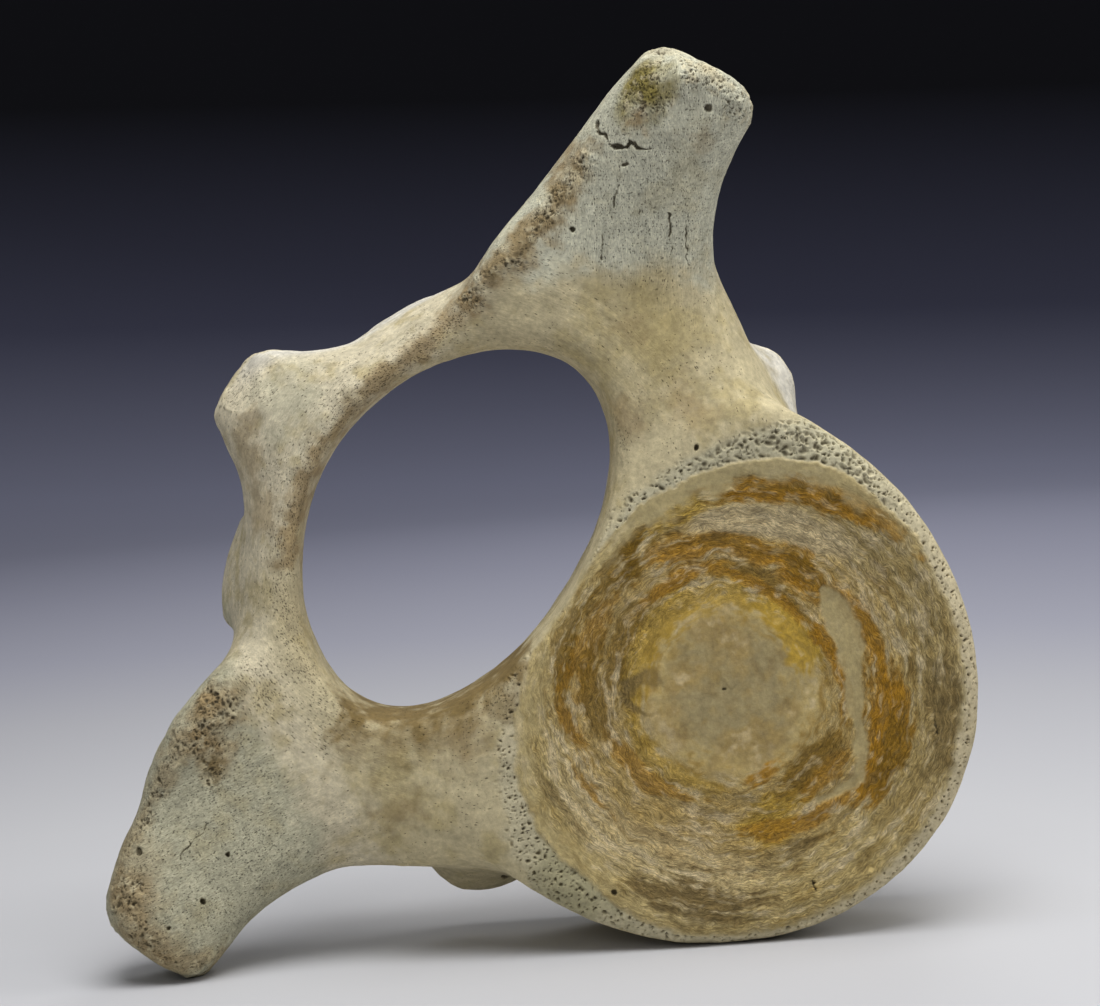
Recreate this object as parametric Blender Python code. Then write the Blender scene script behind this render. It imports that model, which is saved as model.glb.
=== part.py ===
"""First thoracic vertebra of a baleen whale, as dry bone, life size, in metres.

It is shaped upright, as seen from the front of the animal: +X is the animal's left, +Z its back, and -Y its head.
The origin of that upright frame is the centre of the circle that the underside of the centrum follows.
Then the bone is tipped over until it rests on both rims of the centrum and on the tip of the animal's right
transverse process, and it is parted by thin cuts where an anatomist names its parts.
"""

from math import atan2, cos, degrees, pi, radians, sin

import bmesh
import bpy
import numpy as np
from mathutils import Matrix, Vector

# Driving dimensions, in millimetres unless the name says degrees.
MM = 0.001
CENTRUM_BREADTH = 254.0
CENTRUM_LENGTH = 94.0
CANAL_HALF_WIDTH = 94.2
CANAL_SHIFT = -1.8
CANAL_WIDEST = 132.0
CANAL_ROOF = 204.5
CANAL_FLOOR = 76.5
PROCESS_REACH = 240.5
SPINE_TIP = 263.0
REST_FLAT = 0.6
CUT_GAP = 0.3
CUT_REACH = 100.0
FLOOR_BREADTH = 1000.0

# The rim of the centrum is widest a little above the middle of its underside's circle.
RIM_WIDEST = 10.0
RIM_POWER_ABOVE = 3.8
RIM_POWER_BELOW = 1.94

# The end plates of the centrum, seen from the front: middle, half breadth, half height, and thickness.
FRONT_PLATE = ((4.8, -24.5), 111.5, 95.5, 9.0)
BACK_PLATE = ((2.5, -24.0), 106.0, 91.0, 9.0)
PLATE_POWER_ABOVE = 2.3
PLATE_POWER_BELOW = 1.85

# The straight cuts, seen from the front: middle, length, and angle above level in degrees.
CUTS = (
    ((152, 145), 170, 90),
    ((-152, 145), 170, 90),
    ((90, 182), 78, 31),
    ((-95, 184), 84, -33),
    ((0, 221), 190, 0),
    ((0, 204), 44, 90),
    ((112, 80), 116, -12),
    ((-114, 80), 116, 12),
)

# Where the middle of each part lies in the upright frame.
PART_MIDDLES = {
    "centrum": (3, 0, -25),
    "front_epiphysis": (5, -42, -26),
    "rear_epiphysis": (3, 42, -25),
    "left_pedicle": (118, 0, 130),
    "right_pedicle": (-120, 0, 130),
    "left_lamina": (52, 8, 203),
    "right_lamina": (-56, 8, 203),
    "neural_spine": (-2, 22, 233),
    "left_transverse_process": (195, -15, 150),
    "right_transverse_process": (-195, -15, 150),
}

# How finely the bone is made.
SIDES = 32
VOXEL = 2.5
SOFTENING_STEPS = 12
FILLET_STEPS = 220
TRIANGLES = 5900
SMOOTH_BELOW_DEGREES = 50

BONE = (0.52, 0.47, 0.35, 1.0)
STAINED_BONE = (0.42, 0.32, 0.17, 1.0)
PALE_BONE = (0.56, 0.53, 0.43, 1.0)


def clear_scene():
    for obj in list(bpy.data.objects):
        bpy.data.objects.remove(obj)


def signed_power(value, power):
    return abs(value) ** power * (1 if value >= 0 else -1)


def oval(centre, across, along, power):
    """Points of a superellipse round centre. across and along are its half axes, as vectors."""
    points = []
    for step in range(SIDES):
        turn = 2 * pi * step / SIDES
        points.append(centre
                      + across * signed_power(cos(turn), 2 / power)
                      + along * signed_power(sin(turn), 2 / power))
    return points


def add_loft(bm, rings):
    """A closed tube through the rings, with a cap at each end."""
    loops = [[bm.verts.new(point * MM) for point in ring] for ring in rings]
    new_faces = [bm.faces.new(loops[0]), bm.faces.new(loops[-1])]
    for lower, upper in zip(loops, loops[1:]):
        for i, j in zip(range(len(lower)), [*range(1, len(lower)), 0]):
            new_faces.append(bm.faces.new((lower[i], lower[j], upper[j], upper[i])))
    bmesh.ops.recalc_face_normals(bm, faces=new_faces)


def add_lobe(bm, centre, half_sizes, turn_deg=0.0, lean_deg=0.0):
    """An egg-shaped swelling. It is leant about X, then turned about Y, by those angles."""
    turn = Matrix.Rotation(radians(turn_deg), 3, "Y") @ Matrix.Rotation(radians(lean_deg), 3, "X")
    side, deep, tall = (turn.col[axis] * size for axis, size in enumerate(half_sizes))
    rings = []
    for level in range(-5, 6):
        bend = level / 5.5 * pi / 2
        rings.append(oval(Vector(centre) + tall * sin(bend), side * cos(bend), deep * cos(bend), 2.2))
    add_loft(bm, rings)


def egg_outline(half_breadth, top, bottom, top_power, bottom_power):
    """A closed outline as (x, z), blunt above and rounder below, from a different superellipse for each half."""
    points = []
    for step in range(2 * SIDES):
        turn = pi * step / SIDES
        c, s = cos(turn), sin(turn)
        height, power = (top, top_power) if s > 0 else (bottom, bottom_power)
        points.append((half_breadth * signed_power(c, 2 / power), height * signed_power(s, 2 / power)))
    return points


def add_centrum(bm):
    """The body of the vertebra: a short waisted drum with rounded rims, a little smaller at the back."""
    half = CENTRUM_LENGTH / 2
    # depth from the middle as a share of the half length, size, top, shift to the animal's left
    stations = (
        (-0.90, 0.50, 40, 4),
        (-0.95, 0.80, 60, 4),
        (-1.00, 0.900, 69, 4),
        (-0.99, 0.955, 77, 4),
        (-0.94, 0.985, 80, 4),
        (-0.84, 1.000, 82, 4),
        (-0.70, 0.985, 82, 4),
        (-0.40, 0.935, 78, 2),
        (0.00, 0.905, 78, 1),
        (0.40, 0.915, 78, 1),
        (0.70, 0.950, 78, 1),
        (0.86, 0.965, 77, 1),
        (0.95, 0.945, 74, 1),
        (1.00, 0.900, 69, 1),
        (0.96, 0.80, 60, 1),
        (0.92, 0.50, 40, 1),
    )
    rings = []
    for depth, scale, top, shift in stations:
        radius = CENTRUM_BREADTH / 2 * scale
        outline = egg_outline(radius, top - RIM_WIDEST, radius + RIM_WIDEST, RIM_POWER_ABOVE, RIM_POWER_BELOW)
        rings.append([Vector((x + shift, depth * half, z + RIM_WIDEST)) for x, z in outline])
    add_loft(bm, rings)


def add_pedicle(bm, side, stoutness):
    """The pillar beside the canal, by height: its inner and outer side, front and back. stoutness widens it."""
    stations = (
        (0, 30, 106, -40, 38),
        (30, 30, 122, -44, 42),
        (52, 30, 134, -44, 43),
        (70, 30, 146, -42, 42),
        (84, 30, 155, -38, 39),
        (98, 30, 164, -35, 36),
        (114, 34, 168, -33, 33),
        (134, 50, 166, -31, 31),
        (154, 66, 160, -30, 30),
        (178, 78, 144, -27, 29),
    )
    rings = []
    for z, inner, outer, front, back in stations:
        half_width = (outer + stoutness - inner) / 2
        centre = Vector((side * (inner + half_width), (front + back) / 2, z))
        rings.append(oval(centre, Vector((half_width, 0, 0)), Vector((0, (back - front) / 2, 0)), 2.7))
    add_loft(bm, rings)


def add_process(bm, side, reach, low_rise, high_rise, slant):
    """The transverse process, reaching out and a little forward to a blunt end for the first rib.

    reach is how far its tip is from the middle, the rises lift its lower and upper edges, and slant takes
    down the upper corner of its end.
    """
    # share of the way out, lower and upper edge, front and back, squareness of the section
    stations = (
        (0.38, 98, 190, -26, 29, 2.6),
        (0.50, 88, 190, -29, 29, 2.6),
        (0.59, 84, 189, -32, 27, 2.6),
        (0.65, 90, 188, -35, 25, 2.6),
        (0.70, 98, 187, -38, 21, 2.6),
        (0.76, 108, 186, -42, 16, 2.7),
        (0.83, 115, 185, -47, 11, 2.8),
        (0.90, 118, 184, -52, 6, 3.0),
        (0.95, 118, 183, -54, 2, 3.2),
        (0.985, 120, 180, -53, -2, 3.2),
        (1.00, 125, 172, -48, -8, 2.9),
    )
    rings = []
    for share, low, high, front, back, power in stations:
        corner = slant * max(0.0, share - 0.85) / 0.15
        half_height = (high + high_rise - corner - low - low_rise) / 2
        centre = Vector((side * reach * share, (front + back) / 2, low + low_rise + half_height))
        rings.append(oval(centre, Vector((0, 0, half_height)), Vector((0, (back - front) / 2, 0)), power))
    add_loft(bm, rings)


def canal_wall(turn):
    """The point (x, z) of the canal's wall in the direction turn, measured from the canal's widest level."""
    above = sin(turn) > 0
    height = CANAL_ROOF - CANAL_WIDEST if above else CANAL_WIDEST - CANAL_FLOOR
    power = 2 / 1.75 if above else 1.0
    return CANAL_HALF_WIDTH * signed_power(cos(turn), power), height * signed_power(sin(turn), power)


def add_laminae(bm):
    """The roof of the canal, one swept slab from pedicle to pedicle, whose rear edge is higher than its front."""
    # angle round the canal from the animal's left, thickness, half depth
    half_arch = ((6, 46, 30), (20, 45, 29), (32, 39, 28), (44, 32, 28), (56, 28, 29), (68, 26, 29), (80, 26, 29))
    stations = half_arch + tuple((180 - angle, thick, deep) for angle, thick, deep in reversed(half_arch))
    lean = radians(22)
    rings = []
    for angle, thick, deep in stations:
        x, z = canal_wall(radians(angle))
        out = Vector((x, 0, z * 1.2)).normalized()
        centre = Vector((x + CANAL_SHIFT, 3, CANAL_WIDEST + z)) + out * (thick / 2 - 2)
        through = out * cos(lean) - Vector((0, 1, 0)) * sin(lean)
        depth = Vector((0, 1, 0)) * cos(lean) + out * sin(lean)
        rings.append(oval(centre, through * thick / 2, depth * deep, 2.5))
    add_loft(bm, rings)


def add_spine(bm):
    """The low neural spine, leaning back, with a blunt end that slopes down to the front."""
    # height below the tip, half width, front, back
    stations = (
        (68, 64, -16, 34),
        (54, 62, -17, 39),
        (44, 53, -16, 42),
        (34, 41, -13, 43),
        (25, 33, -9, 43),
        (14, 27, -3, 41),
        (5, 23, 4, 38),
        (0, 19, 10, 35),
    )
    rings = []
    for drop, half_width, front, back in stations:
        centre = Vector((CANAL_SHIFT - 1, (front + back) / 2, SPINE_TIP - drop))
        rings.append(oval(centre, Vector((half_width, 0, 0)), Vector((0, (back - front) / 2, 0)), 2.2))
    add_loft(bm, rings)


def add_facets(bm):
    """The joint facets of the arch in front and behind, and the rib facets behind the feet of the pedicles."""
    add_lobe(bm, (122, -15, 180), (46, 19, 14), turn_deg=5)
    add_lobe(bm, (-145, -20, 184), (48, 21, 15), turn_deg=1)
    add_lobe(bm, (62, 33, 205), (35, 28, 10), turn_deg=28, lean_deg=14)
    add_lobe(bm, (-75, 33, 209), (34, 28, 10), turn_deg=-20, lean_deg=14)
    add_lobe(bm, (113, 29, 53), (38, 18, 29), turn_deg=-4)
    add_lobe(bm, (-116, 29, 44), (37, 18, 30), turn_deg=16)


def canal_cutter():
    """The neural canal, an oval tube that widens at both mouths."""
    bm = bmesh.new()
    rings = []
    for depth, flare in ((-120, 10), (-50, 7), (-28, 2), (-8, 0), (14, 0), (34, 2), (60, 7), (120, 10)):
        ring = []
        for step in range(2 * SIDES):
            x, z = canal_wall(pi * step / SIDES)
            grown = 1 + flare / CANAL_HALF_WIDTH
            lift = z * grown if z > 0 else z
            ring.append(Vector((x * grown + CANAL_SHIFT, depth, CANAL_WIDEST + lift)))
        rings.append(ring)
    add_loft(bm, rings)
    return object_of("canal_cutter", bm)


def object_of(name, bm):
    mesh = bpy.data.meshes.new(name)
    bm.to_mesh(mesh)
    bm.free()
    obj = bpy.data.objects.new(name, mesh)
    bpy.context.scene.collection.objects.link(obj)
    return obj


def modify(obj, kind, **settings):
    """Adds one modifier and applies it."""
    modifier = obj.modifiers.new(kind.title(), kind)
    for name, value in settings.items():
        setattr(modifier, name, value)
    bpy.context.view_layer.update()
    graph = bpy.context.evaluated_depsgraph_get()
    obj.data = bpy.data.meshes.new_from_object(obj.evaluated_get(graph))
    obj.modifiers.clear()


def points_of(mesh):
    flat = np.empty(len(mesh.vertices) * 3)
    mesh.vertices.foreach_get("co", flat)
    return flat.reshape(-1, 3)


def fillet(mesh, steps):
    """Fills the creases between the lofts: each point in a hollow moves to the mean of its neighbours."""
    edges = np.empty(len(mesh.edges) * 2, dtype=np.int32)
    mesh.edges.foreach_get("vertices", edges)
    ends = edges.reshape(-1, 2)
    points = points_of(mesh)
    count = np.bincount(edges, minlength=len(points))[:, None]
    for _ in range(steps):
        mesh.vertices.foreach_set("co", points.ravel())
        mesh.update()
        normals = np.empty(len(points) * 3)
        mesh.vertices.foreach_get("normal", normals)
        normals = normals.reshape(-1, 3)
        total = np.zeros_like(points)
        np.add.at(total, ends[:, 0], points[ends[:, 1]])
        np.add.at(total, ends[:, 1], points[ends[:, 0]])
        move = total / count - points
        outward = (move * normals).sum(axis=1, keepdims=True)
        points += move * np.where(outward > 0, 0.5, 0.06)
    mesh.vertices.foreach_set("co", points.ravel())
    mesh.update()


def whole_bone():
    """All the lofts grown together into one skin, hollowed by the canal and softened."""
    bm = bmesh.new()
    add_centrum(bm)
    add_pedicle(bm, 1, 0)
    add_pedicle(bm, -1, 3)
    add_process(bm, 1, PROCESS_REACH - 2, 4, 1.5, 3)
    add_process(bm, -1, PROCESS_REACH + 2, 1.5, 4, 9)
    add_laminae(bm)
    add_spine(bm)
    add_facets(bm)
    bone = object_of("bone", bm)
    cutter = canal_cutter()
    modify(bone, "REMESH", mode="VOXEL", voxel_size=VOXEL * MM)
    modify(bone, "BOOLEAN", operation="DIFFERENCE", object=cutter)
    modify(bone, "REMESH", mode="VOXEL", voxel_size=VOXEL * MM)
    bpy.data.objects.remove(cutter)
    modify(bone, "SMOOTH", factor=0.5, iterations=SOFTENING_STEPS)
    fillet(bone.data, FILLET_STEPS)
    return bone


def lowest(points, chosen, turn):
    return (points[chosen] @ np.array(turn)[:3, :3].T)[:, 2].min()


def resting_turn(bone):
    """The turn that brings the front rim, the back rim and the right process's tip down to one level."""
    points = points_of(bone.data) / MM
    centrum = (points[:, 2] < 60) & (abs(points[:, 0]) < 135)
    front_rim = centrum & (points[:, 1] < 0)
    back_rim = centrum & (points[:, 1] > 0)
    tip = points[:, 0] < -200
    roll, lean = 54.0, -2.0
    for _ in range(30):
        turn = Matrix.Rotation(radians(lean), 4, "X") @ Matrix.Rotation(radians(-roll), 4, "Y")
        front, back, side = (lowest(points, chosen, turn) for chosen in (front_rim, back_rim, tip))
        lean += degrees(atan2(front - back, CENTRUM_LENGTH)) * 0.8
        roll += degrees(atan2(side - min(front, back), CENTRUM_BREADTH)) * 0.8
    return turn


def standing_place(bone):
    """The move to the resting pose, with the origin on the floor under the middle of the bone."""
    turn = resting_turn(bone)
    points = points_of(bone.data) @ np.array(turn)[:3, :3].T
    middle = (points.min(axis=0) + points.max(axis=0)) / 2
    floor = points[:, 2].min() + REST_FLAT * MM
    return Matrix.Translation((-middle[0], -middle[1], -floor)) @ turn


def box_cutter(size, place):
    bm = bmesh.new()
    bmesh.ops.create_cube(bm, size=1.0)
    bm.transform(place @ Matrix.Diagonal((*(Vector(size) * MM), 1)))
    return object_of("box_cutter", bm)


def slab_cutter(middle, length, angle, place):
    """A thin upright slab through the bone, for a straight cut as seen from the front."""
    x, z = middle
    stand = Matrix.Translation(Vector((x, 0, z)) * MM) @ Matrix.Rotation(radians(-angle), 4, "Y")
    return box_cutter((length, 2 * CUT_REACH, CUT_GAP), place @ stand)


def floor_cutter():
    """A block below the floor, whose top trims the feet to small flats at one level."""
    size = (FLOOR_BREADTH, FLOOR_BREADTH, CUT_REACH)
    return box_cutter(size, Matrix.Translation((0, 0, -CUT_REACH / 2 * MM)))


def plate_cutter(plate, side, place):
    """A thin cup that parts an end plate from the centrum. side is -1 for the front and 1 for the back."""
    (x_middle, z_middle), half_breadth, half_height, thickness = plate
    floor = CENTRUM_LENGTH / 2 - thickness
    rings = []
    for depth, grow in ((floor, 0), (CUT_REACH, 0), (CUT_REACH, CUT_GAP), (floor - CUT_GAP, CUT_GAP)):
        tall = half_height + grow
        outline = egg_outline(half_breadth + grow, tall, tall, PLATE_POWER_ABOVE, PLATE_POWER_BELOW)
        rings.append([Vector((x + x_middle, side * depth, z + z_middle)) for x, z in outline])
    bm = bmesh.new()
    add_loft(bm, rings)
    bm.transform(place)
    return object_of("plate_cutter", bm)


def cut_away(bone, cutter):
    modify(bone, "BOOLEAN", operation="DIFFERENCE", object=cutter, solver="EXACT")
    bpy.data.objects.remove(cutter)


def islands(bm):
    """The separate bodies of a mesh, as lists of faces."""
    seen = set()
    for first in bm.faces:
        if first in seen:
            continue
        seen.add(first)
        body = [first]
        for face in body:
            for edge in face.edges:
                new = [other for other in edge.link_faces if other not in seen]
                seen.update(new)
                body.extend(new)
        yield body


def part_objects(bone, place):
    """One object for each body left by the cuts, named by the part whose middle is nearest."""
    bm = bmesh.new()
    bm.from_mesh(bone.data)
    back = place.inverted()
    parts = []
    for body in islands(bm):
        corners = {vert for face in body for vert in face.verts}
        lows = [min(vert.co[k] for vert in corners) for k in range(3)]
        highs = [max(vert.co[k] for vert in corners) for k in range(3)]
        middle = back @ ((Vector(lows) + Vector(highs)) / 2) / MM
        name = min(PART_MIDDLES, key=lambda part: (Vector(PART_MIDDLES[part]) - middle).length)
        piece = bmesh.new()
        made = {vert: piece.verts.new(vert.co) for vert in sorted(corners, key=lambda vert: vert.index)}
        for face in sorted(body, key=lambda face: face.index):
            piece.faces.new([made[vert] for vert in face.verts])
        parts.append(object_of(name, piece))
    bm.free()
    bpy.data.objects.remove(bone)
    return parts


def material(name, colour, roughness):
    made = bpy.data.materials.new(name)
    made.use_nodes = True
    made.diffuse_color = colour
    shader = made.node_tree.nodes["Principled BSDF"]
    shader.inputs["Base Color"].default_value = colour
    shader.inputs["Roughness"].default_value = roughness
    shader.inputs["Metallic"].default_value = 0.0
    return made


def main():
    clear_scene()
    bone = whole_bone()
    count = sum(len(p.vertices) - 2 for p in bone.data.polygons)
    modify(bone, "DECIMATE", ratio=TRIANGLES / count, use_collapse_triangulate=True)
    place = standing_place(bone)
    bone.data.transform(place)
    cut_away(bone, floor_cutter())
    for middle, length, angle in CUTS:
        cut_away(bone, slab_cutter(middle, length, angle, place))
    cut_away(bone, plate_cutter(FRONT_PLATE, -1, place))
    cut_away(bone, plate_cutter(BACK_PLATE, 1, place))
    colours = {"front_epiphysis": STAINED_BONE, "rear_epiphysis": STAINED_BONE, "neural_spine": PALE_BONE}
    for part in part_objects(bone, place):
        part.data.materials.append(material(part.name, colours.get(part.name, BONE), 0.75))
        part.data.shade_smooth()
        part.data.set_sharp_from_angle(angle=radians(SMOOTH_BELOW_DEGREES))


main()
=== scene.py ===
"""The finish of a dry whale vertebra: one weathered skin round the whole bone, its floor, lights and camera.

Lengths are millimetres unless a name or MM says otherwise. The bone is finished in its upright frame, as seen from
the front of the animal: +X is the animal's left, +Z its back, and -Y its head. The origin of that frame is the
centre of the circle that the underside of the centrum follows. Angles on an end face are in degrees, from +X
towards +Z. Places on the front of the bone are given by their x and z.
"""

from math import cos, pi, radians, sin

import bmesh
import bpy
import numpy as np
from mathutils import Matrix, Vector

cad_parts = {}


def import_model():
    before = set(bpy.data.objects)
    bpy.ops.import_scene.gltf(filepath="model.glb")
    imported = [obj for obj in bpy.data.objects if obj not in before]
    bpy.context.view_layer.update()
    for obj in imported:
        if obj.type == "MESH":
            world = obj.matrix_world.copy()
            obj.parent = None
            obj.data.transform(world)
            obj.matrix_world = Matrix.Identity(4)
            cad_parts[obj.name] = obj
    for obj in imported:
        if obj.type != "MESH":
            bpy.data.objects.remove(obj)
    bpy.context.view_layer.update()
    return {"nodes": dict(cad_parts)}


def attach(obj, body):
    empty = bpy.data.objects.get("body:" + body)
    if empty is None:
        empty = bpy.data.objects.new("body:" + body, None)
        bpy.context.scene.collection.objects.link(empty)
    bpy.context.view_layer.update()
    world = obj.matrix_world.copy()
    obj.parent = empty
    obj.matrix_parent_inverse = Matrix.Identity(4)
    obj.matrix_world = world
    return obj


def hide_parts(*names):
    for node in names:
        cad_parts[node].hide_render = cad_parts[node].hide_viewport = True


MM = 0.001

# The resting pose: how far the upright frame is rolled and leant, and where its origin comes to lie.
ROLL_DEGREES = 53.41
LEAN_DEGREES = -1.62
ORIGIN = (79.03, -2.88, 116.42)

# The photograph's view, in metres and degrees.
CAMERA_LENS = 112.13
CAMERA_ELEVATION = 5.0
CAMERA_ROLL = 3.87
CAMERA_DISTANCE = 1.6
CAMERA_TARGET = (0.0131, 0.0003, 0.204)

# How finely the skin is made, and how much of the coarse model's facets is smoothed away.
CUT_OVERLAP = 0.2
VOXEL = 0.9
SMOOTHING_STEPS = 60
LARGEST_MOVE = 0.5
EDGE_STEPS = 70

# The flat layout: how much the directions are smoothed before the skin is cut into charts, and the room round each.
CHART_STEPS = 40
CHART_MARGIN = 1.0

# The end plates: middle, half breadth and half height, and the middle of their growth rings.
FRONT_PLATE = ((4.8, -24.5), (111.5, 95.5), (6.0, -9.0))
REAR_PLATE = ((2.5, -24.0), (106.0, 91.0), (-4.0, -14.0))
PLATE_POWER_ABOVE = 2.3
PLATE_POWER_BELOW = 1.85
PLATE_WOBBLE = 1.3
PLATE_RISE = 0.9
FIBRE_TURN_RADIUS = 14.0
CENTRUM_TOP = 92.0
CENTRUM_EDGE = 131.0

# The neural canal, and the lines along which the two transverse processes grow outwards.
CANAL_MIDDLE = (1.5, 137.5)
CANAL_RADIUS = 75.0
LEFT_GROWTH = (0.842, 0.539)
RIGHT_GROWTH = (-0.871, 0.491)
PROCESS_START = 128.0
SPINE_START = 236.0

# Round the front plate, by angle: the breadth of its pitted band, how densely that is pitted, how far the band reaches
# in over the plate's outline, how plain the plate's pale border is, and how grey the band is.
BAND_COLUMNS = ("angle", "breadth", "density", "reach_in", "pale", "grey")
BAND = (
    (-180, 21, 0.72, 2, 0.45, 0.8),
    (-155, 13, 0.70, 1, 0.15, 0.7),
    (-140, 10, 0.65, 2, 0.0, 0.5),
    (-110, 9, 0.60, 3, 0.0, 0.35),
    (-60, 9, 0.55, 5, 0.0, 0.2),
    (-30, 12, 0.65, 7, 0.0, 0.35),
    (-12, 20, 0.85, 4, 0.3, 0.6),
    (8, 22, 1.0, -3, 0.9, 1.0),
    (22, 18, 1.0, -4, 1.0, 1.0),
    (36, 12, 0.90, -4, 1.0, 1.0),
    (50, 7, 0.80, -6, 1.0, 1.0),
    (63, 5, 0.75, -6.5, 1.0, 0.9),
    (76, 4, 0.70, -6, 0.5, 0.6),
    (91, 3, 0.60, -6.5, 0.3, 0.4),
    (108, 5, 0.65, -5.5, 0.3, 0.4),
    (117, 8, 0.75, -6.5, 0.4, 0.4),
    (129, 7, 0.70, -7, 0.7, 0.5),
    (144, 9, 0.70, -5, 0.6, 0.7),
    (160, 15, 0.75, -3, 0.7, 0.8),
    (174, 21, 0.75, 2, 0.5, 0.8),
    (180, 21, 0.72, 2, 0.45, 0.8),
)

# Colours, as linear albedo.
CREAM = (0.55, 0.475, 0.29)
# The next two are one grey of the processes, painted lighter on the upper, +X process and darker on the lower, -X one,
# as the light from above falls: painted light and painted shade.
GREY_WITH_PAINTED_LIGHT = (0.60, 0.59, 0.45)
GREY_WITH_PAINTED_SHADE = (0.46, 0.44, 0.31)
PALE = (0.65, 0.58, 0.41)
PINKISH = (0.64, 0.57, 0.45)
# A paler far wing, painted only where the light from above falls: partly the bone's colour, partly painted light.
PALE_WING_AND_PAINTED_LIGHT = (0.68, 0.65, 0.57)
EDGE = (0.64, 0.56, 0.36)
TAN = (0.42, 0.34, 0.155)
OCHRE = (0.34, 0.25, 0.125)
BROWN = (0.22, 0.155, 0.06)
GREEN_BROWN = (0.25, 0.205, 0.06)
FACE = (0.54, 0.415, 0.175)
FACE_DARK = (0.35, 0.235, 0.065)
FACE_PALE = (0.73, 0.6, 0.355)
FACE_BORDER = (0.46, 0.385, 0.20)
CENTRE = (0.38, 0.275, 0.105)
CENTRE_GREY = (0.37, 0.30, 0.15)
YELLOW = (0.54, 0.345, 0.04)
ORANGE = (0.44, 0.225, 0.02)
DARK_ORANGE = (0.25, 0.145, 0.018)
CRESCENT = (0.45, 0.37, 0.185)
BAND_GREY = (0.54, 0.50, 0.34)
BAND_TAN = (0.60, 0.50, 0.31)
BAND_GREEN = (0.36, 0.33, 0.19)
# The near black of pits, open bone and cracks: painted shade in hollows that the relief carves.
PIT_SHADE = (0.10, 0.08, 0.045)

# Stained arcs of the front plate: from angle, to angle, the radius at each, breadth, colour, strength.
ARCS = (
    (-100, -50, 90, 88, 20, FACE_DARK, 0.35),
    (-205, 205, 62, 62, 20, ORANGE, 0.2),
    (-62, 34, 99, 97, 16, BROWN, 0.3),
    (-10, 46, 82, 78, 8, FACE_PALE, 0.7),
    (150, 225, 84, 84, 10, FACE_PALE, 0.3),
    (-40, 20, 38, 43, 7, YELLOW, 0.85),
    (20, 130, 44, 47, 8, YELLOW, 0.65),
    (130, 200, 47, 46, 5, YELLOW, 0.5),
    (-140, -112, 62, 62, 10, YELLOW, 0.7),
    (36, 64, 88, 79, 4.5, YELLOW, 0.7),
    (-14, 38, 103, 90, 5.5, ORANGE, 0.95),
    (6, 20, 99, 95, 3, DARK_ORANGE, 0.7),
    (50, 66, 70, 72, 4, ORANGE, 0.6),
    (64, 86, 76, 76, 8, DARK_ORANGE, 1.0),
    (-10, 16, 62, 66, 9, ORANGE, 1.0),
    (-8, 14, 64, 68, 6, DARK_ORANGE, 0.7),
    (14, 60, 64, 66, 6, ORANGE, 0.85),
    (24, 44, 66, 67, 4, DARK_ORANGE, 0.4),
    (-68, -18, 52, 47.5, 3.5, ORANGE, 1.0),
    (-20, 40, 48, 55, 3.5, DARK_ORANGE, 0.75),
    (-20, 40, 45, 52, 2.5, ORANGE, 0.7),
    (36, 78, 55.5, 57, 3, ORANGE, 0.85),
    (74, 122, 57, 54, 5, DARK_ORANGE, 0.7),
    (88, 122, 82, 77, 5, DARK_ORANGE, 0.85),
    (84, 125, 69, 68, 5, ORANGE, 0.6),
    (120, 144, 76, 73, 4, ORANGE, 0.75),
    (108, 142, 66, 61, 5, DARK_ORANGE, 0.7),
    (140, 190, 60, 52, 4, ORANGE, 0.65),
    (148, 164, 80, 77, 3.5, ORANGE, 0.7),
    (146, 162, 95, 92, 3.5, BROWN, 0.5),
    (-138, -116, 42, 41, 3.5, ORANGE, 0.9),
    (-114, -80, 53, 53, 9, DARK_ORANGE, 0.8),
    (-112, -84, 60, 60, 5, ORANGE, 0.6),
    (-98, -47, 80, 68, 9, ORANGE, 1.0),
    (-50, -12, 68, 66, 4.5, ORANGE, 0.9),
    (-92, -64, 83, 76, 6, DARK_ORANGE, 0.7),
    (-140, -94, 65, 75, 4, ORANGE, 0.8),
    (-132, -118, 80, 80, 5, BROWN, 0.6),
    (-170, -142, 98, 97, 11, BROWN, 0.9),
    (-78, -50, 99, 99, 9, BROWN, 0.7),
)

# The curled stain near the middle of the front plate: x, z, radius, breadth, and the direction of its back.
CURL = (-17.0, 22.0, 9.0, 4.5)
CURL_BACK = (-0.24, 0.97)

# The pale crescent: angle, radius, breadth.
CRESCENT_LINE = (
    (-110, 66, 3),
    (-92, 71, 5),
    (-81, 64.5, 5.5),
    (-66, 56.5, 7),
    (-47, 56, 11),
    (-28, 58.5, 15),
    (-15, 60, 11),
    (-8, 62, 3),
)

# Stains elsewhere on the front, and painted shade on the spine: x, z, radius, colour, strength.
PATCHES = (
    (116, 106, 30, TAN, 0.8),
    (134, 122, 24, TAN, 0.6),
    (122, 118, 11, OCHRE, 0.35),
    (104, 78, 16, OCHRE, 0.5),
    (84, 100, 13, OCHRE, 0.6),
    (213, 172, 17, GREEN_BROWN, 1.0),
    (221, 176, 11, GREEN_BROWN, 0.6),
    (200, 167, 8, OCHRE, 0.9),
    (236, 152, 9, EDGE, 0.7),
    (208, 138, 7, OCHRE, 0.4),
    (-104, 5, 38, BAND_GREEN, 0.8),
    (-127, 92, 14, BROWN, 0.6),
    (-117, 84, 10, BROWN, 0.5),
    (-113, 102, 20, TAN, 0.6),
    (-77, 82, 17, OCHRE, 0.6),
    (-84, 104, 12, BROWN, 0.5),
    (-55, 74, 12, BROWN, 0.6),
    # Painted shade: the spine, which faces the front lamp, is darkened with the darker process grey.
    (5, 232, 24, GREY_WITH_PAINTED_SHADE, 0.6),
    (-129, 187, 18, OCHRE, 1.0),
    (-144, 179, 16, OCHRE, 1.0),
    (-154, 170, 9, BROWN, 0.7),
    (-222, 172, 18, OCHRE, 0.7),
    (-236, 150, 22, OCHRE, 0.7),
    (-206, 176, 16, OCHRE, 0.4),
)

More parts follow.
